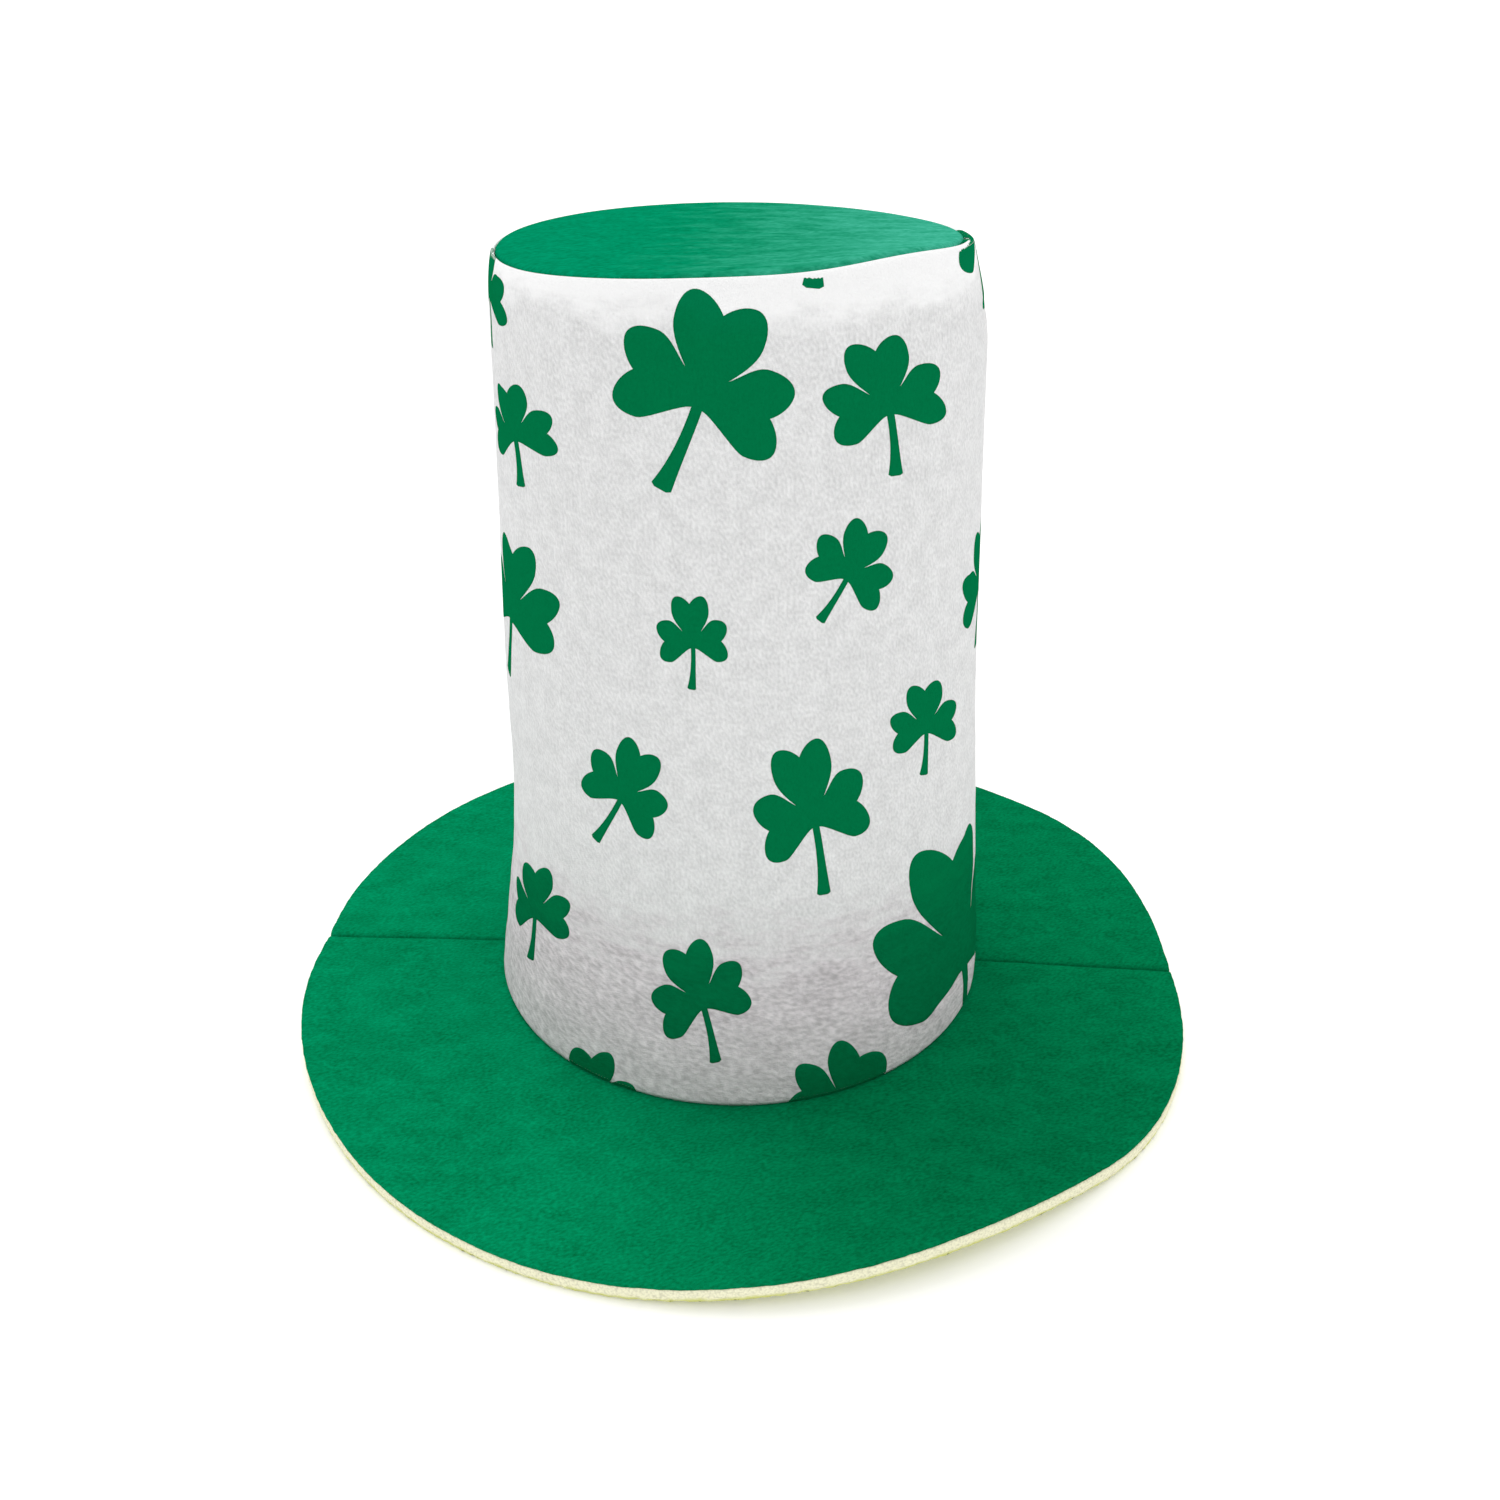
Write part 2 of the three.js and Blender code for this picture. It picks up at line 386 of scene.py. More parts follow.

# The lid's pile is brushed across, and a painted sheen makes it pale towards the right
lidLook = {
    "lit": (0.0006, 0.345, 0.168),
    "shaded": (0.0004, 0.155, 0.060),
    # painted sheen: the pale colours of the right side
    "farLit": (0.085, 0.530, 0.370),
    "farShaded": (0.001, 0.260, 0.140),
    "paintedLightFrom": -0.030,
    "paintedLightTo": 0.080,
    "fleckSize": 0.0012,
    "cloudSize": 0.008,
    "lean": (0.15, 0.5, 0),
    "stretch": (0.6, 1.4, 1),
    "turn": 6,
    "sheen": 0.0,
}

foamLook = {
    "face": (0.95, 0.93, 0.68),
    "rim": (0.66, 0.68, 0.24),
    "speck": (0.10, 0.09, 0.05),
    "poreSize": 0.0007,
    "poreShade": 0.72,        # the face's colour in the pores, as a share
}


# White or printed velour of the crown. Near the foot its pile is crushed into short strokes round the hat, and
# under the lid's seam the rim is painted bright as a painted highlight
def makeCrownVelour(name, look, sheen):
    material, tree, shader = startMaterial(name, 0.95, sheen, 0.45)
    place, spread = placeOnPiece(tree, unrolled=True)
    nap = napNodes(tree, spread, whiteLook["fleckSize"], whiteLook["cloudSize"], whiteLook["lean"])
    stretch = (1 / whiteLook["strokeStretch"], 1, 1)
    across = placeOnPiece(tree, stretch, 4, unrolled=True)[1]
    strokes = napNodes(tree, across, whiteLook["strokeSize"], whiteLook["cloudSize"], whiteLook["lean"])
    up = addNode(tree, "ShaderNodeSeparateXYZ", {0: place}).outputs["Y"]
    waver = mathNode(tree, "MULTIPLY", mathNode(tree, "SUBTRACT", strokes["Clouds"], 0.5), 0.02)
    crush = rangeNode(tree, mathNode(tree, "ADD", up, waver), whiteLook["crushTop"], whiteLook["crushFull"])
    tone = blended(tree, (nap["Clouds"], 0.22), (nap["Flecks"], 0.48), (nap["Lit Side"], 0.30))
    plain = mixColours(tree, tone, look["shaded"], look["lit"])
    crushTone = blended(tree, (strokes["Clouds"], 0.2), (strokes["Flecks"], 0.5), (strokes["Lit Side"], 0.30))
    crushed = mixColours(tree, crushTone, look["crushedShaded"], look["crushedLit"])
    colour = mixColours(tree, crush, plain, crushed)
    # painted highlight: the band under the lid's seam takes the rim's colour
    uneven = mathNode(tree, "MULTIPLY", waver, 0.35)
    rimHighlight = rangeNode(tree, mathNode(tree, "ADD", up, uneven), whiteLook["highlightFrom"], whiteLook["highlightFull"])
    colour = mixColours(tree, rimHighlight, colour, look["rim"])
    tree.links.new(colour, shader.inputs["Base Color"])
    height = mathNode(tree, "ADD", nap["Height"], mathNode(tree, "MULTIPLY", strokes["Height"], crush))
    bumpInto(tree, shader, height, 0.9, 0.0009)
    return material


# Green velour whose colour is painted slowly from one side of the piece to the other: painted shade on the
# brim, a painted sheen on the lid
def makeGreenVelour(name, look):
    material, tree, shader = startMaterial(name, 0.9, look["sheen"], 0.35, (0.05, 1.0, 0.70))
    place, spread = placeOnPiece(tree, look["stretch"], look["turn"])
    nap = napNodes(tree, spread, look["fleckSize"], look["cloudSize"], look["lean"])
    tone = blended(tree, (nap["Clouds"], 0.2), (nap["Flecks"], 0.45), (nap["Lit Side"], 0.35))
    # painted light: towards the right the far colours take over, painted shade on the brim and a painted sheen
    # on the lid
    right = addNode(tree, "ShaderNodeSeparateXYZ", {0: place}).outputs["X"]
    waver = mathNode(tree, "MULTIPLY", mathNode(tree, "SUBTRACT", nap["Clouds"], 0.5), 0.03)
    turned = rangeNode(tree, mathNode(tree, "ADD", right, waver), look["paintedLightFrom"], look["paintedLightTo"])
    near = mixColours(tree, tone, look["shaded"], look["lit"])
    far = mixColours(tree, tone, look["farShaded"], look["farLit"])
    tree.links.new(mixColours(tree, turned, near, far), shader.inputs["Base Color"])
    bumpInto(tree, shader, nap["Height"], 0.6, 0.0008)
    return material


# Open-pored cream foam, yellowed and specked along the lower rim of its cut edge
def makeCreamFoam(name, hasRim):
    material, tree, shader = startMaterial(name, 1.0)
    place = placeOnPiece(tree)[0]
    inputs = {"Vector": place, "Scale": 1 / foamLook["poreSize"]}
    pores = addNode(tree, "ShaderNodeTexVoronoi", inputs, feature="SMOOTH_F1").outputs["Distance"]
    inputs = {"Vector": place, "Scale": 90.0, "Detail": 4.0, "Roughness": 0.65}
    stains = addNode(tree, "ShaderNodeTexNoise", inputs).outputs["Fac"]
    inPores = [part * foamLook["poreShade"] for part in foamLook["face"]]
    face = mixColours(tree, rangeNode(tree, pores, 0.2, 0.9), foamLook["face"], inPores)
    colour = face
    if hasRim:
        depth = addNode(tree, "ShaderNodeAttribute", attribute_name="depth").outputs["Fac"]
        uneven = mathNode(tree, "MULTIPLY", mathNode(tree, "SUBTRACT", stains, 0.5), 0.9)
        low = rangeNode(tree, mathNode(tree, "ADD", depth, uneven), 0.55, 0.95)
        colour = mixColours(tree, low, face, foamLook["rim"])
        inputs = {"Vector": place, "Scale": 420.0, "Detail": 2.0}
        specks = addNode(tree, "ShaderNodeTexNoise", inputs).outputs["Fac"]
        specked = rangeNode(tree, specks, 0.60, 0.70)
        dark = mathNode(tree, "MULTIPLY", specked, rangeNode(tree, depth, 0.75, 1.0))
        colour = mixColours(tree, dark, colour, foamLook["speck"])
    tree.links.new(colour, shader.inputs["Base Color"])
    bumpInto(tree, shader, pores, 0.7, 0.0005)
    return material


whiteVelour = makeCrownVelour("whiteVelour", whiteLook, 0.1)
printedVelour = makeCrownVelour("printedVelour", printLook, 0.0)
brimVelour = makeGreenVelour("brimVelour", brimLook)
lidVelour = makeGreenVelour("lidVelour", lidLook)
edgeFoam = makeCreamFoam("edgeFoam", True)
insideFoam = makeCreamFoam("insideFoam", False)
print("materials ready")

# Crown

crown = {
    "columns": 432,
    "wallRows": 150,
    "shoulderRows": 12,
    "lipRows": 7,
    "shoulder": 0.018,        # height of the roll below the lid's seam
    "shoulderTurn": 66,       # degrees of the roll before the cloth dips into the seam
    "cloth": 0.0013,
    "footTuck": 0.0008,       # the cloth turns in by this much where it meets the brim
    "footTuckHeight": 0.002,
    "slumpAt": -5,            # the shoulder slumps most in this direction, in degrees
    "slumpReach": 28,         # and less and less this far round
    "slump": 0.0020,          # at the shoulder's foot, and less this far below it
    "slumpDown": 0.008,
    "slumpRoll": 0.0014,      # and this much more over the roll
    "seamGap": 0.00015,       # between the cloth and the middle of a seam
    "seamDepth": 0.004,
    "innerRows": 14,          # up the inner face of the wall's cloth
    "lump": 0.00028,
    "calmFoot": 0.012,        # the lumps begin over this length above the foot
    "calmTop": 0.006,         # and end over this height below the rim
    "backSeam": 0.0009,
    "backSeamWidth": 0.0016,
    "backPuffAt": 0.005,      # the cloth stands up a little beside the back seam
    "backPuffWidth": 0.0025,
    "backPuff": 0.35,         # as a share of the seam's depth
}

# Slight swells and hollows of the soft wall: the direction and height of each, how far it reaches round and
# up, and how far it stands out
swellColumns = ("around", "height", "reachRound", "reachUp", "out")
swells = [
    (-75, 0.020, 45, 0.020, 0.0006),
    (-22, 0.024, 30, 0.026, 0.0010),
    (-166, 0.090, 26, 0.045, -0.0009),
]

wallTree = [nodeTree("crown_wall")]
lidTree = [nodeTree("crown_top")]
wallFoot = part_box("crown_wall")[0].z
lidLow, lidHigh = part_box("crown_top")
lidMiddle = (lidLow.x + lidHigh.x) / 2
lidRadius = (lidHigh.x - lidLow.x) / 2

angles = np.arange(crown["columns"]) * 360 / crown["columns"] - 270   # the back seam is column 0
turns = np.radians(angles)


def lidHeightAt(x, y):
    return firstHit(lidTree, (x, y, 1), (0, 0, -1)).z


def wallRadiusAt(turn, height):
    out = Vector((math.cos(turn), math.sin(turn), 0))
    hit = firstHit(wallTree, Vector((0, 0, height)) + out * 0.4, -out)
    return math.hypot(hit.x, hit.y)


# Height of the lid's edge and distance of the seam from the hat's middle, in each direction
edgeInset = 0.0004
seamHeight = evened([
    lidHeightAt(lidMiddle + (lidRadius - edgeInset) * math.cos(t), (lidRadius - edgeInset) * math.sin(t))
    for t in turns
], 8, 0)
seamRadius = lidMiddle * np.cos(turns) + np.sqrt(lidRadius ** 2 - (lidMiddle * np.sin(turns)) ** 2)

rowShares = np.linspace(0, 1, crown["wallRows"])
shoulderFoot = seamHeight - crown["shoulder"]
measureGap = 0.0003


def crownPath():
    heights = wallFoot + (shoulderFoot[:, None] - wallFoot) * rowShares[None, :]
    radii = np.array([
        [wallRadiusAt(t, max(z, wallFoot + measureGap)) for z in column] for t, column in zip(turns, heights)
    ])
    radii = evened(radii, 6, 6)
    for row in swells:
        swell = dict(zip(swellColumns, row))
        sideways = ((angles - swell["around"] + 180) % 360 - 180) / swell["reachRound"]
        upward = (heights - swell["height"]) / swell["reachUp"]
        radii = radii + swell["out"] * np.exp(-sideways[:, None] ** 2 - upward ** 2)
    slumped = np.exp(-(((angles - crown["slumpAt"] + 180) % 360 - 180) / crown["slumpReach"]) ** 2)[:, None]
    below = (heights - shoulderFoot[:, None]) / crown["slumpDown"]
    radii = radii - crown["slump"] * slumped * np.exp(-below ** 2)
    # the foot turns in
    low = np.clip(1 - (heights - wallFoot) / crown["footTuckHeight"], 0, 1)
    radii = radii - crown["footTuck"] * low ** 2
    # the shoulder rolls in
    reach = radii[:, -1] - seamRadius
    roll = np.radians(np.linspace(0, crown["shoulderTurn"], crown["shoulderRows"] + 1)[1:])
    last = roll[-1]
    rollRadii = seamRadius[:, None] + reach[:, None] * np.cos(roll)[None, :]
    rollRadii = rollRadii - crown["slumpRoll"] * slumped * np.sin(roll / last * np.pi)[None, :]
    rollHeights = shoulderFoot[:, None] + crown["shoulder"] * np.sin(roll)[None, :]
    # the lip dips into the seam
    heading = np.arctan2(crown["shoulder"] * math.cos(last), -reach * math.sin(last))
    sweep = np.linspace(0, 1, crown["lipRows"] + 1)[1:]
    lipRadius = (rollRadii[:, -1] - seamRadius - crown["seamGap"]) / (1 + np.sin(heading))
    bearing = heading[:, None] + (1.5 * np.pi - heading[:, None]) * sweep[None, :]
    lipRadii = rollRadii[:, -1:] + lipRadius[:, None] * (np.sin(bearing) - np.sin(heading[:, None]))
    lipHeights = rollHeights[:, -1:] + lipRadius[:, None] * (np.cos(heading[:, None]) - np.cos(bearing))
    depths = np.linspace(0, crown["seamDepth"], 4)[1:]
    tuckRadii = np.repeat(lipRadii[:, -1:], len(depths), axis=1)
    tuckHeights = lipHeights[:, -1:] - depths[None, :]
    return (
        np.concatenate([radii, rollRadii, lipRadii, tuckRadii], axis=1),
        np.concatenate([heights, rollHeights, lipHeights, tuckHeights], axis=1),
    )


# Moves a path of (radius, height) sideways, away from its right-hand side
def offsetPath(radii, heights, distance):
    alongR, alongZ = np.gradient(radii, axis=1), np.gradient(heights, axis=1)
    length = np.hypot(alongR, alongZ)
    return radii - alongZ / length * distance, heights + alongR / length * distance


def aroundAxis(radii, heights):
    c, s = np.cos(turns)[:, None], np.sin(turns)[:, None]
    return np.stack([radii * c, radii * s, heights], axis=-1)


pathRadii, pathHeights = crownPath()
wallRadiusTable = pathRadii[:, :crown["wallRows"]]
panelRadius = float(wallRadiusTable.mean())
panelWidth = 2 * math.pi * panelRadius
pathLength = np.cumsum(np.hypot(np.diff(pathRadii, axis=1), np.diff(pathHeights, axis=1)), axis=1)
pathLength = np.concatenate([np.zeros((len(turns), 1)), pathLength], axis=1)
print("crown measured: panel", round(panelWidth, 4), "by", round(float(pathLength.mean(axis=0)[-1]), 4))


def makeCrownCloth():
    outside = aroundAxis(pathRadii, pathHeights)
    fromTop = pathHeights.max(axis=1)[:, None] - pathHeights
    settled = smoothStep(pathLength / crown["calmFoot"]) * smoothStep(fromTop / crown["calmTop"])
    # the small lumps are stronger low down
    low = 1 - smoothStep((pathLength - 0.03) / 0.07)
    out = crown["lump"] * (0.6 * lumps(outside, 0.026, 3.0) + (0.4 + 0.8 * low) * lumps(outside, 0.010, 11.0))
    fromSeam = np.abs(((angles + 270 + 180) % 360) - 180) * np.pi / 180 * panelRadius
    groove = crown["backSeam"] * np.exp(-(fromSeam / crown["backSeamWidth"]) ** 2)
    beside = (fromSeam - crown["backPuffAt"]) / crown["backPuffWidth"]
    puff = crown["backPuff"] * crown["backSeam"] * np.exp(-beside ** 2)
    radii = pathRadii + out * settled + (puff - groove)[:, None]
    outside = aroundAxis(radii, pathHeights)
    wallFew = np.linspace(0, crown["wallRows"] - 1, crown["innerRows"]).astype(int)
    few = np.r_[wallFew, crown["wallRows"]:radii.shape[1]]
    inside = aroundAxis(*offsetPath(pathRadii, pathHeights, crown["cloth"]))[:, few]
    section = np.concatenate([outside, inside[:, ::-1]], axis=1)
    away = 1.0   # keeps the inner face off the outer face's place on the panel
    across = np.concatenate([np.zeros_like(pathLength), np.full(inside.shape[:2], away)], axis=1)
    along = np.concatenate([pathLength, pathLength[:, few][:, ::-1]], axis=1)
    return ringMesh("crown_velour", section, whiteVelour, np.stack([across, along], axis=-1), panelWidth)


crownCloth = makeCrownCloth()
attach(crownCloth, "root")
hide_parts("crown_wall")


crownFoamSizes = {
    "outside": 0.0014,    # from the cloth's face to the foam
    "inside": 0.0054,
    "rows": 30,
    "lump": 0.0004,
    "fromSeam": 0.0018,   # the foam ends this far outside the lid's seam
    "underSeam": 0.0052,  # and this far below it
}


def makeCrownFoam():
    rows = np.linspace(0, crown["wallRows"] - 1, crownFoamSizes["rows"]).astype(int)
    top = crown["wallRows"] + np.arange(1, crown["shoulderRows"] - 1, 2)
    outerR, outerZ = offsetPath(pathRadii, pathHeights, crownFoamSizes["outside"])
    outer = aroundAxis(outerR, outerZ)[:, np.r_[rows, top]]
    innerR, innerZ = offsetPath(pathRadii, pathHeights, crownFoamSizes["inside"])
    inner = aroundAxis(innerR, innerZ)[:, rows]
    bumps = crownFoamSizes["lump"] * lumps(inner, 0.02, 7.0)
    inner[..., :2] *= (1 - bumps / panelRadius)[..., None]
    endRadii = seamRadius[:, None] + crownFoamSizes["fromSeam"]
    underSeam = aroundAxis(endRadii, seamHeight[:, None] - crownFoamSizes["underSeam"])
    section = np.concatenate([outer, underSeam, inner[:, ::-1]], axis=1)
    return ringMesh("crown_foam", section, insideFoam)


crownFoam = makeCrownFoam()
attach(crownFoam, "root")
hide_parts("crown_wall")
print("crown made")

# Lid

lid = {
    "columns": 300,
    "rows": 56,
    "roll": 0.0019,       # radius of the edge where the cloth turns down into the seam
    "rollRows": 8,
    "ease": 0.0002,       # the edge sinks by this much before it rolls
    "easeReach": 0.009,
    "lump": 0.00035,
    "calmEdge": 0.008,    # the lumps begin over this distance from the edge
    "cloth": 0.0013,
    "bond": 0.0001,       # between the cloth and its foam
    "foam": 0.0034,
    "foamDrop": 0.0004,   # the foam's edge is this much lower
}


def makeLid():
    count = lid["columns"]
    around = np.arange(count) * 2 * np.pi / count
    cosine, sine = np.cos(around)[:, None], np.sin(around)[:, None]
    reach = lidRadius - crown["seamGap"]
    radii = np.linspace(0, 1, lid["rows"] + 1)[1:] * (reach - lid["roll"])
    measured = np.array([
        [lidHeightAt(lidMiddle + r * math.cos(a), r * math.sin(a)) for r in radii] for a in around
    ])
    heights = evened(measured, 6, 3)
    fromEdge = reach - radii
    heights = heights - (lid["ease"] * np.clip(1 - fromEdge / lid["easeReach"], 0, 1) ** 2)[None, :]
    places = np.stack(np.broadcast_arrays(radii * cosine, radii * sine, heights), axis=-1)
    calm = smoothStep(fromEdge / lid["calmEdge"])[None, :]
    uneven = 0.7 * lumps(places, 0.03, 21.0) + 0.5 * lumps(places, 0.011, 5.0)
    heights = heights + lid["lump"] * calm * uneven
    roll = np.linspace(0, np.pi / 2, lid["rollRows"] + 1)[1:]
    edgeRadii = np.r_[reach - lid["roll"] * (1 - np.sin(roll)), [reach] * 2]
    drops = np.r_[lid["roll"] * (1 - np.cos(roll)), crown["seamDepth"] * 0.7, crown["seamDepth"]]
    allRadii = np.r_[radii, edgeRadii]
    allHeights = np.concatenate([heights, heights[:, -1:] - drops[None, :]], axis=1)

    def at(r, z):
        return np.stack(np.broadcast_arrays(lidMiddle + r * cosine, r * sine, z), axis=-1)

    over = at(allRadii[None, :], allHeights)
    innerRadii = np.minimum(allRadii, reach - lid["cloth"])
    few = np.r_[np.arange(0, lid["rows"], 7), lid["rows"] - 1:len(allRadii)]
    lowered = allHeights[:, few] - lid["cloth"]
    lowered[:, -1] = allHeights[:, -1]
    under = at(innerRadii[few][None, :], lowered)
    section = np.concatenate([over, under[:, ::-1]], axis=1)
    middle = float(heights[:, 0].mean())
    centre = (lidMiddle, 0, middle)
    cloth = discMesh("lid_velour", section, centre, (lidMiddle, 0, middle - lid["cloth"]), lidVelour)
    # the foam disc under the cloth
    rows = np.r_[np.arange(0, lid["rows"], 4), lid["rows"] - 1]
    edge = reach - lid["cloth"] - lid["bond"]
    foamRadii = np.r_[np.minimum(radii[rows], edge), edge]
    foamTop = np.concatenate([heights[:, rows], heights[:, -1:] - lid["foamDrop"]], axis=1)
    foamTop = foamTop - lid["cloth"] - lid["bond"]
    foamOver = at(foamRadii[None, :], foamTop)
    foamUnder = at(foamRadii[None, :], foamTop - lid["foam"])
    section = np.concatenate([foamOver, foamUnder[:, ::-1]], axis=1)
    top = middle - lid["cloth"] - lid["bond"]
    foam = discMesh("lid_foam", section, (lidMiddle, 0, top), (lidMiddle, 0, top - lid["foam"]), insideFoam)
    return cloth, foam


lidCloth, lidFoam = makeLid()
for piece, slotName in ((lidCloth, "green_velour"), (lidFoam, "cream_foam")):
    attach(piece, "root")
    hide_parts("crown_top")
print("lid made")

# Brim

brim = {
    "columns": 360,            # of each half
    "rows": 48,
    "underRows": 24,
    "cloth": 0.0013,
    "bond": 0.00005,           # between the cloth and its foam
    "seamRoll": 0.0022,        # the cloth rolls down over this much beside the seam
    "seamDrop": 0.0013,
    "seamPuff": 0.0006,
    "straightSeam": 15,        # degrees from the seam over which the grid turns from straight to radial
    "lump": 0.00025,
    "fray": 0.00022,           # unevenness of the cut cloth's edge
    "short": 0.0008,           # the cloth is cut this much shorter than the foam
    "shortAt": -50,            # in this direction, in degrees, and less and less this far round
    "shortReach": 28,
    "edgeRound": 0.0005,
    "foamBulge": 0.0004,
    "foamRagged": 0.0005,
    "foamEdgeRows": 7,
    "underCrown": 0.0055,      # the brim reaches in under the crown's wall by this much
}

clothTrees = [nodeTree("brim_front_plush"), nodeTree("brim_back_plush")]
foamTrees = [nodeTree("brim_front_foam"), nodeTree("brim_back_foam")]
seamY = (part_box("brim_front_plush")[1].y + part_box("brim_back_plush")[0].y) / 2
measureColumns, measureRows = 360, 25
firstMeasure = 0.5    # degrees: no measure falls on a seam


# A place on the brim for a distance from the hat's middle and a direction in degrees
def brimPlace(radius, angle):
    turn = np.radians(angle)
    return radius * np.cos(turn), radius * np.sin(turn) + seamY * np.cos(turn) ** 4


def brimHeight(trees, radius, angle, up):
    x, y = brimPlace(radius, angle)
    hit = firstHit(trees, (x, y, up), (0, 0, -up))
    return None if hit is None else hit.z


# The outermost distance at which the brim is still there
def brimEdgeAt(angle):
    inside, outside = 0.15, 0.21
    for _ in range(14):
        middle = (inside + outside) / 2
        if brimHeight(clothTrees, middle, angle, 1) is None:
            outside = middle
        else:
            inside = middle
    return inside


def measureBrim():
    degrees = firstMeasure + np.arange(measureColumns) * 360 / measureColumns
    edges = evened(np.array([brimEdgeAt(a) for a in degrees]), 4, 0)
    inside = float(wallRadiusTable[:, 0].min())
    shares = np.linspace(0, 1, measureRows)
    nearEdge = 0.0012
    over, under = [], []
    for a, edge in zip(degrees, edges):
        radii = inside + (edge - nearEdge - inside) * shares
        over.append([brimHeight(clothTrees, r, a, 1) for r in radii])
        under.append([brimHeight(foamTrees, r, a, -1) for r in radii])
    return edges, inside, evened(over, 4, 1), np.maximum(evened(under, 4, 1), 0)


edgeTable, brimInside, overTable, underTable = measureBrim()
edgeTable = np.stack([edgeTable, edgeTable], axis=1)
openingRadius = brimInside - brim["underCrown"]
print("brim measured: edge", round(float(edgeTable.min()), 4), "to", round(float(edgeTable.max()), 4))


# The grid of one half: columns from seam to seam, rows outwards. Gives directions, distances and reach
def halfGrid(isBack, shares):
    start = 0 if isBack else -180
    across = np.linspace(0, 1, brim["columns"] + 1)
    across = across + 0.06 * np.sin(2 * np.pi * (across + 0.5)) / (2 * np.pi)   # finer beside the seams
    nominal = 180 * across[:, None]
    fromSeam = np.minimum(nominal, 180 - nominal)
    edge = tableAt(edgeTable, firstMeasure, start + nominal, 0.0)
    radii = np.where(
        shares[None, :] < 0,
        brimInside + shares[None, :] * (brimInside - openingRadius),
        brimInside + np.clip(shares[None, :], 0, 1) * (edge - brimInside),
    )
    straight = np.clip(1 - fromSeam / brim["straightSeam"], 0, 1)
    bent = fromSeam * (brimInside / radii * straight + 1 - straight)
    angle = start + np.where(nominal <= 90, bent, 180 - bent)
    return angle, radii, np.clip(shares[None, :], 0, 1) + 0 * radii


# How far a point is from the line of the seam
def seamDistance(angle, radii):
    return np.abs(radii * np.sin(np.radians(angle)))


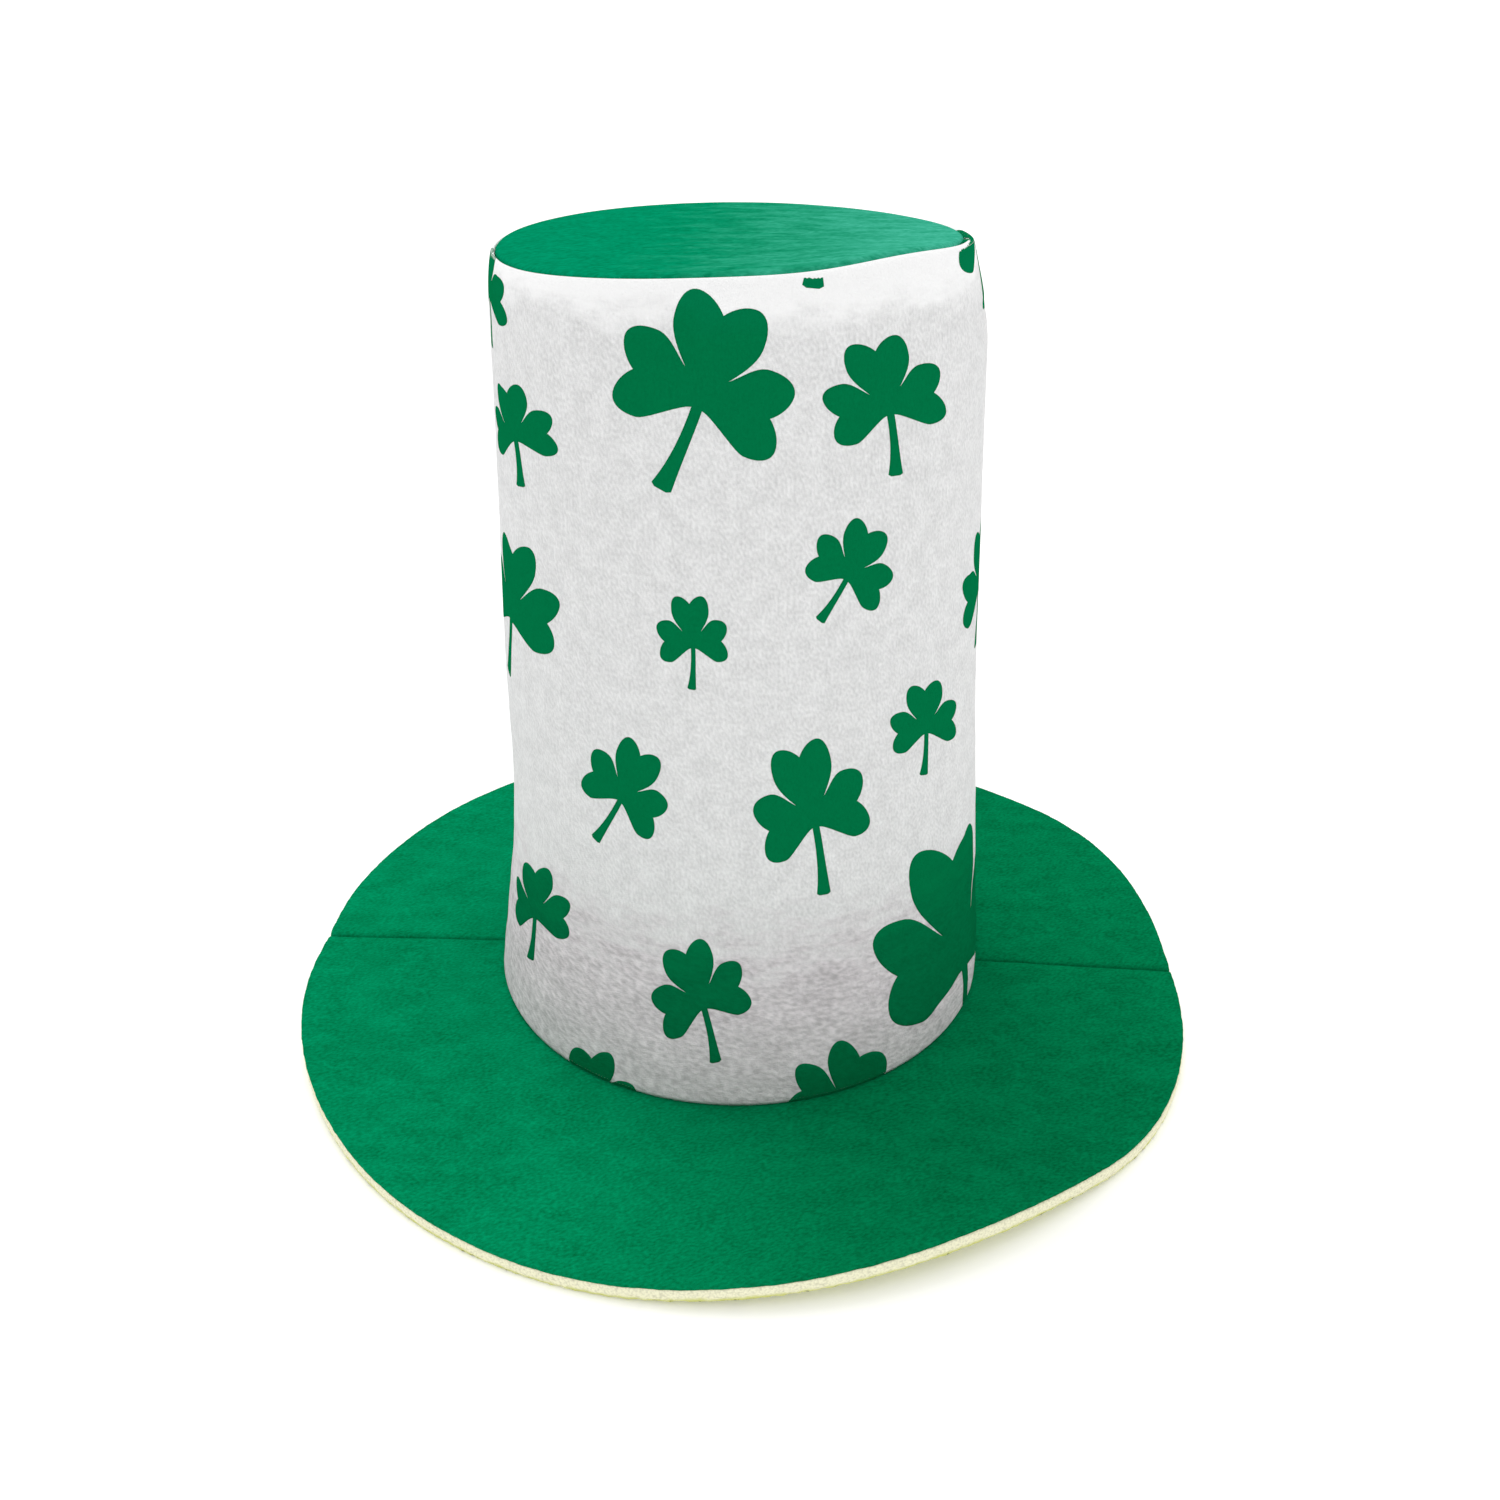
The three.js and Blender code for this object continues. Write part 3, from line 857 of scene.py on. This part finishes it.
def makeBrimHalf(isBack):
    side = "back" if isBack else "front"
    shares = np.r_[-1, -0.5, np.linspace(0, 1, brim["rows"])]
    angle, radii, reach = halfGrid(isBack, shares)
    over = tableAt(overTable, firstMeasure, angle, reach)
    distance = seamDistance(angle, radii)
    shift = crown["seamGap"] * (1 if isBack else -1)

    def at(r, z):
        x, y = brimPlace(r, angle)
        return np.stack([x, y + shift, z], axis=-1)

    places = at(radii, over)
    calm = smoothStep((radii - brimInside) / 0.006)
    over = over + brim["lump"] * calm * (0.8 * lumps(places, 0.030, 31.0) + 0.5 * lumps(places, 0.009, 13.0))
    near = np.clip(1 - distance / brim["seamRoll"], 0, 1)
    sunk = brim["seamDrop"] * (1 - np.sqrt(1 - near ** 2))
    puff = brim["seamPuff"] * (1.0 if isBack else 0.4) * np.exp(-((distance - 0.004) / 0.0035) ** 2)
    over = over - sunk + puff * calm

    # cloth: its cut edge is a little frayed and softly rounded
    cutEdge = places[:, -1]
    fray = brim["fray"] * lumps(cutEdge, 0.0022, 41.0) + 0.5 * brim["fray"] * lumps(cutEdge, 0.0051, 2.0)
    fromShort = ((angle[:, -1] - brim["shortAt"] + 180) % 360 - 180) / brim["shortReach"]
    edge = radii[:, -1] + fray - brim["short"] * np.exp(-fromShort ** 2)
    rounds = np.array([0.8, 0.25, 0.0]) * brim["edgeRound"]
    drops = np.array([0.0, 0.35, 1.0]) * brim["edgeRound"]
    last = len(rounds)
    clothRadii = np.concatenate([radii[:, :-last], edge[:, None] - rounds[None, :]], axis=1)
    clothTop = np.concatenate([over[:, :-last], over[:, -last:] - drops[None, :]], axis=1)
    clothUnder = np.minimum(over - brim["cloth"], clothTop - 0.0003)
    underRadii = np.minimum(clothRadii, edge[:, None] - 0.0001)
    cloth = slabMesh(f"brim_{side}_velour", at(clothRadii, clothTop), at(underRadii, clothUnder), brimVelour)

    # foam: the same grid with fewer rows, a bulging cut edge and a ragged lower rim
    few = np.r_[0, np.arange(2, len(shares) - 1, 2), len(shares) - 1]
    foamTop = (over - brim["cloth"] - brim["bond"])[:, few]
    foamRadii = radii[:, few]
    foamUnder = tableAt(underTable, firstMeasure, angle[:, few], reach[:, few])
    foamUnder = np.minimum(foamUnder, foamTop - 0.001)
    edgeSteps = brim["foamEdgeRows"]
    depth = np.linspace(0, 1, edgeSteps)
    bulge = brim["foamBulge"] * (np.sin(np.pi * depth) - 0.6)
    rim = cutEdge[:, None, :] + np.array([0, 0, 1]) * (0.005 * depth)[None, :, None]
    ragged = brim["foamRagged"] * lumps(rim, 0.0016, 17.0) * (0.25 + 0.75 * depth ** 3)[None, :]
    edgeRadii = foamRadii[:, -1:] + bulge[None, :] + ragged
    edgeHeights = foamTop[:, -1:] + (foamUnder[:, -1:] - foamTop[:, -1:]) * depth[None, :]
    lift = 0.4 * brim["foamRagged"] * (1 + lumps(rim[:, -1], 0.003, 51.0))
    edgeHeights[:, -1] = edgeHeights[:, -1] + lift
    angle = angle[:, np.r_[few[:-1], [few[-1]] * edgeSteps]]
    topRadii = np.concatenate([foamRadii[:, :-1], edgeRadii], axis=1)
    topHeights = np.concatenate([foamTop[:, :-1], edgeHeights], axis=1)
    # the under face's outer rows lie close together, just inside the rim
    inner, apart = edgeRadii[:, -1:] - 0.0012, 0.0009
    flatRows = np.zeros(foamUnder.shape[1] - 1)
    lowHeights = np.concatenate([foamUnder[:, :-1], np.repeat(foamUnder[:, -1:], edgeSteps, axis=1)], axis=1)
    squeeze = np.concatenate([flatRows, np.linspace(0, apart, edgeSteps)])
    lowRadii = np.minimum(topRadii, inner) - apart + squeeze[None, :]
    depths = np.concatenate([flatRows, depth])[None, :] + 0 * topRadii
    foam = slabMesh(
        f"brim_{side}_foam_pad", at(topRadii, topHeights), at(lowRadii, lowHeights), edgeFoam,
        values=(depths, np.ones_like(depths)),
    )
    return cloth, foam


for isBack in (False, True):
    side = "back" if isBack else "front"
    cloth, foam = makeBrimHalf(isBack)
    for piece, node, slotName in (
        (cloth, f"brim_{side}_plush", "green_velour"), (foam, f"brim_{side}_foam", "cream_foam")
    ):
        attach(piece, "root")
        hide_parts(node)
print("brim made")

# Printed shamrocks

# Points of a half leaf, in leaf lengths from the middle of the shamrock, with the leaf's axis upwards
leafShape = {
    "slit": (0.245, 0.185),      # where two leaves part
    "leaving": (0.125, 0.145),   # the edge's first step from there
    "nearing": (0.51, 0.49),     # it comes to the widest point from here
    "widest": (0.51, 0.67),
    "shoulderOut": (0.52, 0.88),
    "shoulderIn": (0.44, 1.00),
    "lobe": (0.32, 1.00),
    "lobeIn": (0.18, 1.00),
    "notchIn": (0.06, 0.90),
    "notch": (0.00, 0.824),
    "besideStem": (0.016, 0.132),   # the edge's first step from the stem, and the way to the widest point
    "underside": (0.50, 0.56),
    "sideLeaf": 0.95,            # length of the two side leaves
    "sideTurn": 93.2,            # degrees from the top leaf
    "stemTop": 0.175,            # the side leaves meet the stem this far below the middle
    "stemLength": 0.97,
    "stemWidth": (0.062, 0.12),
    "stemTurn": 8,               # degrees clockwise of the stem's end
    "stemBend": 5,               # degrees that the stem turns on its way down
    "curveSteps": 9,
}

# The shamrocks of the front, in pixels of the photograph, 1500 by 1500: the middle, the leaf length, the width
# as a share of a true one, and the degrees clockwise of the top leaf and of the line through the side leaves
frontColumns = ("across", "down", "leaf", "wide", "turn", "level")
frontChart = [
    (702.5, 390, 93.5, 1.00, 16, 20),
    (886.5, 402, 63.5, 0.98, -13, -14.5),
    (512.5, 432.5, 48.5, 0.91, -14, -2.5),
    (457, 297.5, 55, 0.90, -10, 2),
    (1028, 235, 75, 1.00, 0, 0),
    (850, 571, 50.5, 0.87, 25.5, 28.5),
    (692.5, 639.5, 43.5, 0.84, -5, 0),
    (1014, 600, 57, 0.90, 0, 0),
    (502, 611, 67, 0.90, 5, 10),
    (925.5, 725, 42, 0.86, -2.5, -14.5),
    (624, 792.5, 49, 0.99, 24.5, 37.5),
    (812.5, 813, 70, 0.85, -13.5, -19),
    (969.5, 952.5, 108.5, 0.89, -9.5, -12),
    (534, 910, 44.5, 0.86, 0.5, 11.5),
    (701, 998, 56.5, 0.88, -19, -20.5),
    (592, 1097, 47, 0.95, 0, 10),
    (846, 1102, 58, 1.00, 16, 17),
]

# The shamrocks of the sides and the back: around in degrees from the right (front is -90, the back seam 90),
# height in mm above the brim along the cloth, leaf length in mm, and degrees clockwise. The first is at the
# front and shows only its stem's end
backColumns = ("around", "height", "leaf", "turn")
backChart = [
    (-67, 317.5, 26, 0),
    (30, 242, 26, -12),
    (58, 190, 17, 18),
    (22, 118, 20, 24),
    (63, 268, 16, 8),
    (52, 128, 16, -16),
    (64, 62, 27, 12),
    (26, 4, 22, -6),
    (-256, 222, 16, -10),
    (-253, 18, 22, 6),
    (-226, 252, 27, 14),
    (-250, 168, 17, -12),
    (-198, 210, 16, -6),
    (-214, 168, 18, 22),
    (-250, 108, 26, -8),
    (-188, 106, 18, -14),
    (-216, 78, 21, 10),
    (-186, 20, 27, 12),
    (-222, -4, 20, -4),
]

printSizes = {
    "grain": 0.0012,     # between the points that the flat shapes are filled with
    "fineGrain": 0.0003,
    "rowGap": 0.87,      # between the rows of those points, in grains
    "clear": 0.45,       # the points keep this far from the outline, in grains
    "sunk": 0.00006,     # the print goes this far into the cloth
    "proud": 0.00004,    # and stands this far above it
    "weld": 0.000005,
    "steepest": 2.1,     # a shape of the front is stretched round the side of the crown by no more than this
    "beyond": 1.4,       # and where it goes out of the photograph's sight by this
    "evening": 0.35,     # its bent shape is evened out by this share, to look right from the side too
    "foot": 0.00005,     # cut off at the foot
}


def turnedBy(points, degrees):
    a = math.radians(degrees)
    return [(x * math.cos(a) + y * math.sin(a), y * math.cos(a) - x * math.sin(a)) for x, y in points]


def curve(start, first, second, end):
    steps = leafShape["curveSteps"]
    t = (np.arange(steps) / steps)[:, None]
    p, q, r, s = (np.array(v, float) for v in (start, first, second, end))
    made = (1 - t) ** 3 * p + 3 * (1 - t) ** 2 * t * q + 3 * (1 - t) * t ** 2 * r + t ** 3 * s
    return [tuple(v) for v in made]


# One edge of a leaf from where it begins to the notch. Start is in the shamrock's own frame
def leafEdge(start, axis, length, side, besideStem):
    x, y = turnedBy([start], -axis)[0]
    begin = (x / length, y / length)

    def at(name):
        return side * leafShape[name][0], leafShape[name][1]

    step, second = (at("besideStem"), at("underside")) if besideStem else (at("leaving"), at("nearing"))
    first = (begin[0] + step[0], begin[1] + step[1])
    points = curve(begin, first, second, at("widest"))
    points += curve(at("widest"), at("shoulderOut"), at("shoulderIn"), at("lobe"))
    points += curve(at("lobe"), at("lobeIn"), at("notchIn"), at("notch"))
    return turnedBy([(px * length, py * length) for px, py in points], axis)


def leafOutline(left, right, axis, length, stemOnLeft, stemOnRight):
    up = leafEdge(left, axis, length, -1, stemOnLeft)
    down = leafEdge(right, axis, length, 1, stemOnRight)
    notch = leafShape["notch"]
    tip = turnedBy([(notch[0] * length, notch[1] * length)], axis)
    return up + tip + down[::-1]


def shamrockOutline():
    slit = leafShape["slit"]
    slitLeft, slitRight = (-slit[0], slit[1]), slit
    thin, thick = leafShape["stemWidth"]
    top, length = leafShape["stemTop"], leafShape["stemLength"]
    side, turn = leafShape["sideLeaf"], leafShape["sideTurn"]
    stem = []
    for s in np.linspace(0.03, 1, leafShape["curveSteps"]):
        stem.append((thin + (thick - thin) * s ** 3, s))
    stem += [(thick * 0.6, 1.03), (-thick * 0.6, 1.03)]
    stem += [(-x, s) for x, s in stem[leafShape["curveSteps"] - 1::-1]]
    # each place down the stem turns a little more than the one before
    bend, end = leafShape["stemBend"], leafShape["stemTurn"]
    stem = [turnedBy([(x, -length * s)], end + bend * (s - 1))[0] for x, s in stem]
    stem = [(x, y - top) for x, y in stem]
    outline = leafOutline(stem[-1], slitLeft, -turn, side, True, False)
    outline += leafOutline(slitLeft, slitRight, 0, 1, False, False)
    outline += leafOutline(slitRight, stem[0], turn, side, False, True)
    return outline + stem


# Which points lie inside the outline: a line from each of them crosses it an odd number of times
def areInside(points, outline):
    x, y = points[:, :1], points[:, 1:]
    (ax, ay), (bx, by) = outline.T, np.roll(outline, -1, axis=0).T
    rise = np.where(by == ay, 1, by - ay)
    crossed = ((ay > y) != (by > y)) & (x < ax + (bx - ax) * (y - ay) / rise)
    return crossed.sum(axis=1) % 2 == 1


# The crown's radius and the way up along its cloth, by height in equal steps, for each direction round it
seenRows = crown["wallRows"] + crown["shoulderRows"]
lowest, highest = wallFoot + crown["footTuckHeight"], float(pathHeights[:, seenRows - 1].max())
levelCount = 300
levels = np.linspace(lowest, highest, levelCount)
radiusByHeight = np.array([
    np.interp(levels, z[:seenRows], r[:seenRows]) for z, r in zip(pathHeights, pathRadii)
])
lengthByHeight = np.array([
    np.interp(levels, z[:seenRows], s[:seenRows]) for z, s in zip(pathHeights, pathLength)
])
lipFrom = float(pathLength[:, seenRows - 1].min())   # the way up to where the lip begins


def crownAt(table, around, height):
    return tableAt(table, float(angles[0]), around, (height - lowest) / (highest - lowest))


# Where the lines of sight through pixels of the photograph meet the crown, as places on the unrolled panel.
# Near the crown's edges and past them the shapes go on round the side, stretched by set amounts
def pixelsOnPanel(across, down):
    photoSize = 1500
    focus = cameraView["lens"] / cameraView["sensor"] * photoSize
    tilted = Euler((math.radians(cameraView["tilt"]), 0, math.radians(cameraView["turn"]))).to_matrix()
    right, up, back = (np.array(tilted.col[k]) for k in range(3))
    toRight = (across[:, None] - photoSize / 2) / focus * right
    toTop = (photoSize / 2 - down[:, None]) / focus * up
    sight = -back + toRight + toTop
    cameraX, cameraY, cameraZ = cameraView["place"]
    distance = math.hypot(cameraX, cameraY)
    ahead = sight @ np.array([-cameraX, -cameraY, 0]) / distance
    aside = sight @ np.array([-cameraY, cameraX, 0]) / distance
    toSide, fall = np.arctan2(aside, ahead), -sight[:, 2] / ahead
    steepest = printSizes["steepest"]
    bendFrom = math.sqrt(1 - 1 / steepest ** 2)
    around = math.degrees(math.atan2(cameraY, cameraX)) + np.zeros_like(toSide)
    height = cameraZ - fall * (distance - panelRadius)
    for _ in range(10):   # the radius depends on the height, so both come nearer step by step
        radius = crownAt(radiusByHeight, around, height)
        share = distance * np.sin(toSide) / radius
        far = np.clip(np.abs(share) - bendFrom, 0, 1 - bendFrom)
        swing = np.arcsin(np.clip(np.abs(share), 0, bendFrom)) + steepest * far
        reach = np.minimum(swing, np.pi / 2)
        swing = np.sign(share) * (swing + printSizes["beyond"] * np.clip(np.abs(share) - 1, 0, None))
        around = np.degrees(math.atan2(cameraY, cameraX) + swing - toSide)
        met = distance - radius * np.cos(reach - np.abs(toSide))
        height = 0.5 * height + 0.5 * (cameraZ - fall * met)
    outside = height - np.clip(height, lowest, highest)
    return np.radians(around + 90) * panelRadius, crownAt(lengthByHeight, around, height) + outside


# Each shape as the photograph shows it, moved by a share towards the plainest one that fits it
def frontOutlines(outline):
    for row in frontChart:
        spot = dict(zip(frontColumns, row))
        turn, level, leaf = math.radians(spot["turn"]), math.radians(spot["level"]), spot["leaf"]
        x, y = outline[:, 0] * leaf * spot["wide"], outline[:, 1] * leaf
        across = spot["across"] + x * math.cos(level) + y * math.sin(turn)
        down = spot["down"] + x * math.sin(level) - y * math.cos(turn)
        seen = np.stack(pixelsOnPanel(across, down), axis=1)
        flat = np.column_stack([outline, np.ones(len(outline))])
        plain = flat @ np.linalg.lstsq(flat, seen, rcond=None)[0]
        yield seen + printSizes["evening"] * (plain - seen)


def backOutlines(outline):
    for row in backChart:
        spot = dict(zip(backColumns, row))
        leaf, height = spot["leaf"] * 0.001, spot["height"] * 0.001
        turned = np.array(turnedBy(outline, spot["turn"])) * leaf
        stretch = panelRadius / float(crownAt(radiusByHeight, spot["around"], wallFoot + height))
        middle = (math.radians(spot["around"] + 90) * panelRadius, height)
        yield turned * (stretch, 1) + middle


# The print's points lie closer together where the cloth rolls over the lip and where it turns in at the foot
def grainAt(y):
    isRolled = y > lipFrom - printSizes["grain"] or y < crown["footTuckHeight"] * 1.2
    return printSizes["fineGrain"] if isRolled else printSizes["grain"]


def splitEdges(outline):
    made = []
    for p, q in zip(outline, np.roll(outline, -1, axis=0)):
        step = min(grainAt(p[1]), grainAt(q[1]))
        pieces = max(1, math.ceil(math.dist(p, q) / step))
        made += [p + (q - p) * k / pieces for k in range(pieces)]
    made = np.array(made)
    return made[np.linalg.norm(np.roll(made, -1, axis=0) - made, axis=1) > 1e-5]


def pointsWithin(outline):
    low, high = outline.min(axis=0), outline.max(axis=0)
    grain = printSizes["grain"]
    made = []
    y = max(low[1], -grain)
    while y < high[1]:
        x = np.arange(low[0] + (len(made) % 2) * grain / 2, high[0], grain)
        made.append(np.stack([x, np.full_like(x, y), np.full_like(x, grainAt(y))], axis=1))
        y += grainAt(y) * printSizes["rowGap"]
    places, steps = np.split(np.concatenate(made), [2], axis=1)
    gaps = np.linalg.norm(places[:, None] - outline[None], axis=2).min(axis=1)
    return places[areInside(places, outline) & (gaps > printSizes["clear"] * steps[:, 0])]


# The flat chart of all shamrocks, as it lies on the unrolled panel
def makeFlatChart():
    chart = bmesh.new()
    unit = np.array(shamrockOutline())
    for outline in (*frontOutlines(unit), *backOutlines(unit)):
        outline = splitEdges(outline)
        count = len(outline)
        edges = [(k, (k + 1) % count) for k in range(count)]
        corners = [Vector(p) for p in np.concatenate([outline, pointsWithin(outline)]).tolist()]
        points, _, faces, *_ = delaunay_2d_cdt(corners, edges, [list(range(count))], 1, 1e-7)
        made = [chart.verts.new((*p, 0)) for p in points]
        for face in faces:
            chart.faces.new([made[k] for k in face])
    # cut off at both sides of the back seam and at the foot
    half = panelWidth / 2 - crown["seamGap"]
    foot = printSizes["foot"]
    for place, away in (((half, 0, 0), (1, 0, 0)), ((-half, 0, 0), (-1, 0, 0)), ((0, foot, 0), (0, -1, 0))):
        parts = list(chart.verts) + list(chart.edges) + list(chart.faces)
        bmesh.ops.bisect_plane(chart, geom=parts, plane_co=place, plane_no=away, clear_outer=True)
    for face in chart.faces:
        face.smooth = True
        if face.normal.z < 0:
            face.normal_flip()
    mesh = bpy.data.meshes.new("shamrock_print")
    chart.to_mesh(mesh)
    chart.free()
    return mesh


# Wraps a flat chart on a piece that carries the unrolled map, as a thin closed skin
def makeWrapTree():
    tree = bpy.data.node_groups.new("wrapOnPanel", "GeometryNodeTree")
    for name, kind in (
        ("Geometry", "NodeSocketGeometry"), ("Panel", "NodeSocketObject"), ("Sunk", "NodeSocketFloat"),
        ("Proud", "NodeSocketFloat"), ("Material", "NodeSocketMaterial"),
    ):
        tree.interface.new_socket(name, in_out="INPUT", socket_type=kind)
    tree.interface.new_socket("Geometry", in_out="OUTPUT", socket_type="NodeSocketGeometry")
    given = addNode(tree, "NodeGroupInput").outputs
    place = addNode(tree, "GeometryNodeInputPosition").outputs[0]
    stored = addNode(
        tree, "GeometryNodeStoreNamedAttribute", {"Geometry": given["Geometry"], "Name": "unrolled"},
        data_type="FLOAT2", domain="CORNER",
    )
    tree.links.new(place, stored.inputs["Value"])
    panel = addNode(tree, "GeometryNodeObjectInfo", {"Object": given["Panel"]}).outputs["Geometry"]
    inputs = {"Name": "unrolled"}
    panelMap = addNode(tree, "GeometryNodeInputNamedAttribute", inputs, data_type="FLOAT_VECTOR")

    def sampled(value):
        node = addNode(tree, "GeometryNodeSampleUVSurface", data_type="FLOAT_VECTOR")
        tree.links.new(panel, node.inputs[0])
        tree.links.new(value, node.inputs["Value"])
        tree.links.new(panelMap.outputs["Attribute"], node.inputs[2])
        tree.links.new(place, node.inputs["Sample UV"])
        return node.outputs

    onPanel = sampled(place)
    outward = sampled(addNode(tree, "GeometryNodeInputNormal").outputs["Normal"])["Value"]
    inputs = {0: onPanel["Is Valid"]}
    missing = addNode(tree, "FunctionNodeBooleanMath", inputs, operation="NOT").outputs[0]
    sinking = addNode(tree, "ShaderNodeVectorMath", {0: outward}, operation="SCALE")
    tree.links.new(mathNode(tree, "MULTIPLY", given["Sunk"], -1.0), sinking.inputs["Scale"])
    inputs = {0: onPanel["Value"], 1: sinking.outputs[0]}
    sunkPlace = addNode(tree, "ShaderNodeVectorMath", inputs).outputs[0]
    inputs = {"Geometry": stored.outputs["Geometry"], "Selection": missing}
    kept = addNode(tree, "GeometryNodeDeleteGeometry", inputs, domain="POINT").outputs[0]
    base = addNode(tree, "GeometryNodeSetPosition", {"Geometry": kept, "Position": sunkPlace}).outputs[0]
    height = mathNode(tree, "ADD", given["Sunk"], given["Proud"])
    inputs = {"Mesh": base, "Offset Scale": height, "Individual": False}
    raised = addNode(tree, "GeometryNodeExtrudeMesh", inputs, mode="FACES").outputs
    inputs = {"Geometry": raised["Mesh"], "Selection": raised["Side"], "Shade Smooth": False}
    sides = addNode(tree, "GeometryNodeSetShadeSmooth", inputs).outputs[0]
    below = addNode(tree, "GeometryNodeFlipFaces", {"Mesh": base}).outputs[0]
    joined = addNode(tree, "GeometryNodeJoinGeometry")
    tree.links.new(sides, joined.inputs[0])
    tree.links.new(below, joined.inputs[0])
    inputs = {"Geometry": joined.outputs[0], "Distance": printSizes["weld"]}
    closed = addNode(tree, "GeometryNodeMergeByDistance", inputs).outputs[0]
    real = addNode(tree, "GeometryNodeRealizeInstances", {"Geometry": closed}).outputs[0]
    inputs = {"Geometry": real, "Material": given["Material"]}
    finished = addNode(tree, "GeometryNodeSetMaterial", inputs).outputs[0]
    tree.links.new(finished, addNode(tree, "NodeGroupOutput").inputs[0])
    return tree


def makePrint():
    flat = bpy.data.objects.new("flatChart", makeFlatChart())
    collection.objects.link(flat)
    modifier = flat.modifiers.new("wrap", "NODES")
    modifier.node_group = makeWrapTree()
    values = {
        "Panel": crownCloth,
        "Sunk": printSizes["sunk"],
        "Proud": printSizes["proud"],
        "Material": printedVelour,
    }
    for item in modifier.node_group.interface.items_tree:
        if item.in_out == "INPUT" and item.name in values:
            modifier[item.identifier] = values[item.name]
    bpy.context.view_layer.update()
    evaluated = flat.evaluated_get(bpy.context.evaluated_depsgraph_get())
    mesh = bpy.data.meshes.new_from_object(evaluated)
    flat.modifiers.remove(modifier)
    bpy.data.objects.remove(flat)
    piece = bpy.data.objects.new("shamrock_print", mesh)
    collection.objects.link(piece)
    return piece


shamrockPrint = makePrint()
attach(shamrockPrint, "root")
print("print made:", len(shamrockPrint.data.polygons), "faces")

# Studio

studio = {
    "floorSize": 30.0,
    "floorDrop": 0.0002,
    "floorColour": (0.97, 0.97, 0.97),
    # the floor's glow is painted light
    "floorGlow": 0.12,
    "worldStrength": 0.80,
}

# Soft light from far away: where it comes from, in degrees round from the right and up, width and strength
lamps = {
    "backLeft": (135, 56, 35, 0.90),
    "backRight": (40, 38, 30, 0.30),
    "over": (-50, 68, 60, 0.35),
}


def makeStudio():
    half = studio["floorSize"] / 2
    drop = -studio["floorDrop"]
    corners = [(-half, -half, drop), (half, -half, drop), (half, half, drop), (-half, half, drop)]
    material, _, shader = startMaterial("paleFloor", 0.9)
    shader.inputs["Base Color"].default_value = (*studio["floorColour"], 1)
    # the floor glows a little: painted light that lifts the shade round the hat and lights it from below
    shader.inputs["Emission Color"].default_value = (1, 1, 1, 1)
    shader.inputs["Emission Strength"].default_value = studio["floorGlow"]
    makeMesh("floor", corners, [(0, 1, 2, 3)], material)
    world = bpy.data.worlds.new("studio")
    world.use_nodes = True
    background = world.node_tree.nodes["Background"]
    background.inputs["Color"].default_value = (1, 1, 1, 1)
    background.inputs["Strength"].default_value = studio["worldStrength"]
    bpy.context.scene.world = world
    bpy.context.scene.view_settings.view_transform = "Standard"
    for name, (around, up, width, strength) in lamps.items():
        light = bpy.data.lights.new(name, "SUN")
        light.angle = math.radians(width)
        light.energy = strength
        lamp = bpy.data.objects.new(name, light)
        lamp.rotation_euler = (math.radians(90 - up), 0, math.radians(around + 90))
        collection.objects.link(lamp)


makeStudio()
print("studio ready")
